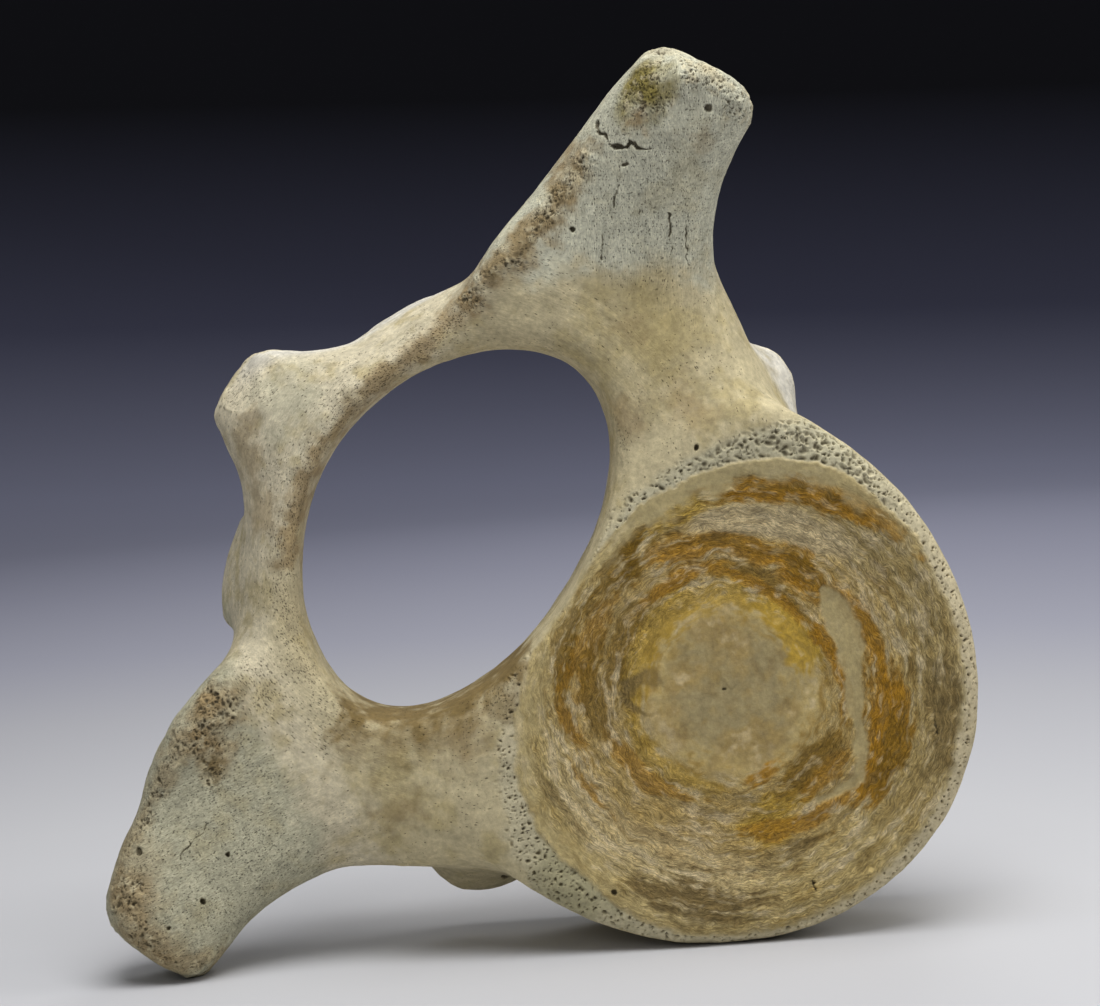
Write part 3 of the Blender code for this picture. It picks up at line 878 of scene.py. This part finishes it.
def pore_density(points, fields):
    """From 0 to 1, how closely fine pores stand."""
    density = 0.06 + 0.12 * fractal(points, 18, 161) + 0.15 * smooth_step(0.1, 0.6, fields["convex"])
    density += 0.32 * smooth_step(180, 205, process_reach(points))
    for x, z, radius, strength in PORE_PATCHES:
        density = np.maximum(density, strength * patch_share(points, x, z, radius, 165, 1.0) * fields["front"])
    for line, breadth, strength in PORE_LINES:
        density = np.maximum(density, strength * line_share(points, line, breadth, 167) * fields["front"])
    density = np.maximum(density, 0.6 * np.maximum(fields["rough"], fields["mottled"]))
    return np.clip(density, 0, 1) * (1 - fields["plate"])


def add_attribute(mesh, name, kind, values):
    layer = mesh.attributes.new(name, kind, "POINT")
    key = {"FLOAT": "value", "FLOAT_VECTOR": "vector", "FLOAT_COLOR": "color"}[kind]
    layer.data.foreach_set(key, np.ascontiguousarray(values, np.float32).ravel())


def weather(mesh):
    """Gives the plain skin its relief, and the attributes that its material reads."""
    points, facing = upright(mesh)
    ends = edge_ends(mesh)
    blunt = smoothed(points, ends, EDGE_STEPS)
    convex = ((points - blunt) * facing).sum(axis=1)
    fields = bone_fields(points, facing, convex)
    fields["fibre_at"] = stretched_places(points, fields)
    fields["crescent"] = crescent_share(points, fields)
    fields["fibres"] *= 1 - 0.8 * fields["crescent"]
    fields["mottled"] = mottled_share(points, fields["front"])
    fields["serrated"] = smooth_step(0.5, 1.2, convex) * fields["wing"] * (points[:, 2] < SPINE_START)
    fields["pits"] = pit_depths(points, fields)
    fields["rough_pits"] = rough_pits(points, fields)
    fields["cracks"] = crack_depths(points, fields)
    add_atlas(mesh, points, smoothed(facing, ends, CHART_STEPS))
    place_upright(mesh, points + facing * relief(points, fields)[:, None])
    colours = painted(points, facing, fields)
    add_attribute(mesh, "paint", "FLOAT_COLOR", np.c_[colours, np.ones(len(points))])
    add_attribute(mesh, "fibres", "FLOAT", fields["fibres"])
    add_attribute(mesh, "grain", "FLOAT", grain_share(points, fields))
    add_attribute(mesh, "stretched", "FLOAT_VECTOR", fields["fibre_at"])
    add_attribute(mesh, "pores", "FLOAT", pore_density(points, fields))


# The flat layout of the skin


def face_pairs(edge_of_corner, face_of_corner):
    """The pairs of faces that meet along an edge."""
    order = np.argsort(edge_of_corner, kind="stable")
    edge, face = edge_of_corner[order], face_of_corner[order]
    shared = edge[1:] == edge[:-1]
    return face[:-1][shared], face[1:][shared]


def linked_groups(count, first, second):
    """A group number for each item, the same for items that the pairs link."""
    root = np.arange(count)
    while True:
        low, high = np.minimum(root[first], root[second]), np.maximum(root[first], root[second])
        apart = low != high
        if not apart.any():
            return np.unique(root, return_inverse=True)[1]
        np.minimum.at(root, high[apart], low[apart])
        while (root != root[root]).any():
            root = root[root]


def shelved(sizes):
    """Where each rectangle lies when they stand in rows, the tallest first, and the side of the square they fill."""
    side = max(1.06 * np.sqrt(sizes.prod(axis=1).sum()), sizes[:, 0].max())
    places = np.zeros(sizes.shape)
    across = up = row = 0.0
    for index in np.argsort(-sizes[:, 1], kind="stable"):
        if across + sizes[index, 0] > side:
            across, up, row = 0.0, up + row, 0.0
        places[index] = across, up
        across += sizes[index, 0]
        row = max(row, sizes[index, 1])
    return places, max(side, up + row)


def add_atlas(mesh, points, facing):
    """Lays the skin out flat in charts, each seen along the axis that it faces most, for baking."""
    corners = numbers(mesh.loops, "vertex_index", 1)[:, 0].astype(np.int64)
    edges = numbers(mesh.loops, "edge_index", 1)[:, 0].astype(np.int64)
    lengths = numbers(mesh.polygons, "loop_total", 1)[:, 0].astype(np.int64)
    face_of_corner = np.repeat(np.arange(len(lengths)), lengths)
    towards = np.stack([np.bincount(face_of_corner, facing[corners, k]) for k in range(3)], axis=1)
    axis = np.abs(towards).argmax(axis=1)
    label = 2 * axis + (towards[np.arange(len(axis)), axis] > 0)
    first, second = face_pairs(edges, face_of_corner)
    same = label[first] == label[second]
    chart = linked_groups(len(label), first[same], second[same])[face_of_corner]
    flat = np.array(((1, 2), (0, 2), (0, 1)))[axis[face_of_corner]]
    place = np.take_along_axis(points[corners], flat, axis=1)
    low = np.full((chart.max() + 1, 2), np.inf)
    high = np.full((chart.max() + 1, 2), -np.inf)
    np.minimum.at(low, chart, place)
    np.maximum.at(high, chart, place)
    offsets, side = shelved(high - low + 2 * CHART_MARGIN)
    layer = mesh.uv_layers.new(name="OFBake")
    layer.uv.foreach_set("vector", ((place - low[chart] + offsets[chart] + CHART_MARGIN) / side).ravel())


# Materials


def shader_nodes(name):
    material = bpy.data.materials.new(name)
    material.use_nodes = True
    tree = material.node_tree
    return material, tree, tree.nodes["Principled BSDF"]


def add_node(tree, kind, settings=None, inputs=None):
    """A shader node. Each input is a value, or the socket that feeds it."""
    node = tree.nodes.new(kind)
    for key, value in (settings or {}).items():
        setattr(node, key, value)
    for key, value in (inputs or {}).items():
        if isinstance(value, bpy.types.NodeSocket):
            tree.links.new(value, node.inputs[key])
        else:
            node.inputs[key].default_value = value
    return node


def attribute(tree, name, output="Fac"):
    return add_node(tree, "ShaderNodeAttribute", {"attribute_name": name}).outputs[output]


def math(tree, operation, first, second):
    return add_node(tree, "ShaderNodeMath", {"operation": operation}, {0: first, 1: second}).outputs[0]


def noise_node(tree, vector, scale, detail=3.0, roughness=0.55):
    inputs = {"Vector": vector, "Scale": scale, "Detail": detail, "Roughness": roughness}
    return add_node(tree, "ShaderNodeTexNoise", None, inputs).outputs["Fac"]


def spread(tree, value, low, high, new_low, new_high):
    inputs = {"Value": value, "From Min": low, "From Max": high, "To Min": new_low, "To Max": new_high}
    return add_node(tree, "ShaderNodeMapRange", None, inputs).outputs[0]


def faded(tree, value, share):
    """The value where share is 1, and 1 where it is 0."""
    return add_node(tree, "ShaderNodeMix", {"data_type": "FLOAT"}, {0: share, 2: 1.0, 3: value}).outputs[0]


def dots(tree, place, scale, largest):
    """1 inside round dots of random size and place, which are crowded where the pores attribute is high."""
    cells = add_node(tree, "ShaderNodeTexVoronoi", {"feature": "F1"}, {"Vector": place, "Scale": scale})
    chance = add_node(tree, "ShaderNodeSeparateColor", None, {0: cells.outputs["Color"]})
    kept = math(tree, "GREATER_THAN", attribute(tree, "pores"), chance.outputs[0])
    edge = spread(tree, chance.outputs[1], 0.0, 1.0, largest * 0.35, largest)
    inside = spread(tree, math(tree, "DIVIDE", cells.outputs["Distance"], edge), 0.65, 1.0, 1.0, 0.0)
    return math(tree, "MULTIPLY", inside, kept)


def pore_socket(tree, place, stretched):
    """1 inside the fine pores and 0 outside: round ones, and smaller ones drawn out lengthwise."""
    ragged = add_node(tree, "ShaderNodeTexNoise", None, {"Vector": place, "Scale": 900.0, "Detail": 1.0})
    shift = add_node(tree, "ShaderNodeVectorMath", {"operation": "SCALE"}, {0: ragged.outputs["Color"], "Scale": 0.0009})
    shaken = add_node(tree, "ShaderNodeVectorMath", {"operation": "ADD"}, {0: place, 1: shift.outputs[0]}).outputs[0]
    shorter = add_node(tree, "ShaderNodeVectorMath", {"operation": "MULTIPLY"}, {0: stretched, 1: (1.7, 1.0, 1.0)})
    long_pores = math(tree, "MAXIMUM", dots(tree, shorter.outputs[0], 1.15, 0.38), dots(tree, shorter.outputs[0], 1.9, 0.42))
    return math(tree, "MAXIMUM", math(tree, "MULTIPLY", dots(tree, shaken, 700.0, 0.33), 0.8), long_pores)


def fine_gaps(tree, vector, scale, width):
    """Hairline creases between strands, dented by the bump and painted dark as shade: 1 on a line and 0 away from it.
    """
    value = noise_node(tree, vector, scale, 1.0, 0.5)
    return spread(tree, math(tree, "ABSOLUTE", math(tree, "SUBTRACT", value, 0.5), 0.0), 0.0, width, 1.0, 0.0)


def bone_material():
    """Dry bone: painted colour with fine mottling, pores and strand creases darkened as painted shade, and the strands
    of the end plates.
    """
    material, tree, shader = shader_nodes("dry_bone")
    place = add_node(tree, "ShaderNodeTexCoord").outputs["Object"]
    stretched = attribute(tree, "stretched", "Vector")
    fibres = attribute(tree, "fibres")
    grain = attribute(tree, "grain")
    mottle = noise_node(tree, place, 380.0, 6.0, 0.7)
    strands = noise_node(tree, stretched, 1.7, 3.0, 0.6)
    gaps = math(tree, "MAXIMUM", fine_gaps(tree, stretched, 1.0, 0.035), fine_gaps(tree, stretched, 2.1, 0.045))
    pore = pore_socket(tree, place, stretched)
    shade = spread(tree, mottle, 0.3, 0.7, 0.78, 1.20)
    # Painted shade: the creases between the strands darken the colour of the end plates.
    strand_shade = math(tree, "MULTIPLY", spread(tree, strands, 0.36, 0.62, 0.74, 1.24),
                        spread(tree, gaps, 0.0, 1.0, 1.0, 0.56))
    shade = math(tree, "MULTIPLY", shade, faded(tree, strand_shade, fibres))
    shade = math(tree, "MULTIPLY", shade, faded(tree, spread(tree, strands, 0.34, 0.64, 0.78, 1.18), grain))
    # Painted shade: the pores, which the bump dents, also darken the colour.
    shade = math(tree, "MULTIPLY", shade, spread(tree, pore, 0.0, 1.0, 1.0, 0.36))
    colour = add_node(tree, "ShaderNodeVectorMath", {"operation": "SCALE"},
                      {0: attribute(tree, "paint", "Color"), "Scale": shade})
    tree.links.new(colour.outputs[0], shader.inputs["Base Color"])
    weight = math(tree, "ADD", fibres, math(tree, "MULTIPLY", grain, 0.35))
    depth = math(tree, "SUBTRACT", strands, math(tree, "MULTIPLY", gaps, 0.35))
    depth = math(tree, "ADD", math(tree, "MULTIPLY", depth, weight), math(tree, "MULTIPLY", mottle, 0.6))
    depth = math(tree, "SUBTRACT", depth, math(tree, "MULTIPLY", pore, 0.8))
    bump = add_node(tree, "ShaderNodeBump", None, {"Strength": 0.8, "Distance": 0.0009, "Height": depth})
    tree.links.new(bump.outputs[0], shader.inputs["Normal"])
    tree.links.new(spread(tree, mottle, 0.3, 0.7, 0.72, 0.92), shader.inputs["Roughness"])
    shader.inputs["Specular IOR Level"].default_value = 0.15
    return material


def floor_material():
    """A pale floor that darkens with distance and up its rim: painted shade for the light falling off."""
    material, tree, shader = shader_nodes("pale_floor_with_painted_shade")
    place = add_node(tree, "ShaderNodeTexCoord").outputs["Object"]
    parts = add_node(tree, "ShaderNodeSeparateXYZ", None, {0: place})
    across = math(tree, "MULTIPLY", parts.outputs["X"], parts.outputs["X"])
    deep = math(tree, "MULTIPLY", parts.outputs["Y"], parts.outputs["Y"])
    away = math(tree, "SQRT", math(tree, "ADD", across, deep), 0.0)
    reach = math(tree, "ADD", away, math(tree, "MULTIPLY", parts.outputs["Z"], RIM_WEIGHT))
    reach = math(tree, "ADD", reach, math(tree, "MULTIPLY", parts.outputs["X"], SIDE_WEIGHT))
    share = spread(tree, reach, FLOOR_PAINTED_SHADES[0][0], FLOOR_PAINTED_SHADES[-1][0], 0.0, 1.0)
    ramp = add_node(tree, "ShaderNodeValToRGB", None, {0: share})
    stops = ramp.color_ramp.elements
    for _ in FLOOR_PAINTED_SHADES[2:]:
        stops.new(0.5)
    for stop, (distance, colour) in zip(stops, FLOOR_PAINTED_SHADES):
        stop.position = (distance - FLOOR_PAINTED_SHADES[0][0]) / (FLOOR_PAINTED_SHADES[-1][0] - FLOOR_PAINTED_SHADES[0][0])
        stop.color = colour + (1,)
    tree.links.new(ramp.outputs[0], shader.inputs["Base Color"])
    shader.inputs["Roughness"].default_value = 0.85
    shader.inputs["Specular IOR Level"].default_value = 0.2
    return material


# The setting, in metres

# The floor's colours by distance from the middle: painted shade, darker far off and up the rim, for the light falling
# away. The height up the rim adds RIM_WEIGHT times itself to that distance, and the way to the right SIDE_WEIGHT
# times, which paints shade on the right against its brighter light.
FLOOR_PAINTED_SHADES = (
    (0.4, (0.52, 0.52, 0.535)),
    (0.8, (0.46, 0.46, 0.49)),
    (1.15, (0.385, 0.388, 0.455)),
    (1.65, (0.322, 0.325, 0.405)),
    (2.5, (0.24, 0.247, 0.335)),
    (3.6, (0.078, 0.08, 0.125)),
    (5.0, (0.008, 0.008, 0.011)),
)
RIM_WEIGHT = 4.0
SIDE_WEIGHT = 0.2
FLOOR_FLAT = 2.2
FLOOR_BEND = 1.0
FLOOR_RIM = 2.4
FLOOR_SIDES = 96
BEND_STEPS = 14


def floor_profile():
    """Distance from the middle and height of the floor and its rim, from the middle outwards."""
    bend = [(FLOOR_FLAT + FLOOR_BEND * sin(pi / 2 * step / BEND_STEPS),
             FLOOR_BEND - FLOOR_BEND * cos(pi / 2 * step / BEND_STEPS)) for step in range(BEND_STEPS + 1)]
    return [(0.0, 0.0)] + bend + [(FLOOR_FLAT + FLOOR_BEND, FLOOR_RIM)]


def add_floor():
    """A round floor that curves up into a plain backdrop on every side."""
    bm = bmesh.new()
    verts = [bm.verts.new((away, 0, height)) for away, height in floor_profile()]
    edges = [bm.edges.new(pair) for pair in zip(verts, verts[1:])]
    bmesh.ops.spin(bm, geom=verts + edges, cent=(0, 0, 0), axis=(0, 0, 1), angle=2 * pi, steps=FLOOR_SIDES,
                   use_merge=True)
    bmesh.ops.remove_doubles(bm, verts=bm.verts, dist=1e-5)
    bmesh.ops.recalc_face_normals(bm, faces=bm.faces)
    mesh = bpy.data.meshes.new("floor")
    bm.to_mesh(mesh)
    bm.free()
    mesh.shade_smooth()
    floor = bpy.data.objects.new("floor", mesh)
    bpy.context.scene.collection.objects.link(floor)
    mesh.materials.append(floor_material())


def add_light(name, place, size, watts, target=(0, 0, 0.2)):
    light = bpy.data.lights.new(name, "AREA")
    light.shape = "SQUARE"
    light.size = size
    light.energy = watts
    obj = bpy.data.objects.new(name, light)
    bpy.context.scene.collection.objects.link(obj)
    obj.location = place
    obj.rotation_euler = (Vector(target) - obj.location).to_track_quat("-Z", "Y").to_euler()


def add_camera():
    """The photograph's view: from straight in front of the animal and a little above."""
    data = bpy.data.cameras.new("camera")
    data.sensor_width = 36.0
    data.lens = CAMERA_LENS
    camera = bpy.data.objects.new("camera", data)
    bpy.context.scene.collection.objects.link(camera)
    rise = radians(CAMERA_ELEVATION)
    target = Vector(CAMERA_TARGET)
    camera.location = target + CAMERA_DISTANCE * Vector((0, -cos(rise), sin(rise)))
    turn = (target - camera.location).to_track_quat("-Z", "Y").to_matrix().to_4x4()
    turn = turn @ Matrix.Rotation(radians(-CAMERA_ROLL), 4, "Z")
    camera.rotation_euler = turn.to_euler()
    bpy.context.scene.camera = camera


def set_world():
    world = bpy.data.worlds.new("studio")
    world.use_nodes = True
    world.node_tree.nodes["Background"].inputs["Color"].default_value = (0.9, 0.93, 1.0, 1)
    world.node_tree.nodes["Background"].inputs["Strength"].default_value = 0.25
    bpy.context.scene.world = world
    bpy.context.scene.view_settings.view_transform = "Standard"


def build_skin(frame):
    skin = joined_bone([frame["nodes"][name] for name in sorted(frame["nodes"])])
    remesh(skin)
    soften(skin.data)
    refine(skin.data)
    carve_facets(skin.data)
    weather(skin.data)
    skin.data.shade_smooth()
    skin.data.materials.append(bone_material())
    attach(skin, "root")
    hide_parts(*sorted(frame["nodes"]))


def main():
    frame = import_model()
    build_skin(frame)
    add_floor()
    add_light("top", (0.15, -0.35, 1.7), 1.3, 30)
    add_light("right", (1.5, -0.2, 0.9), 0.8, 8)
    add_light("front", (-0.7, -1.9, 1.0), 1.0, 6)
    add_light("back", (0.5, 2.0, 1.4), 1.0, 12)
    set_world()
    add_camera()


main()
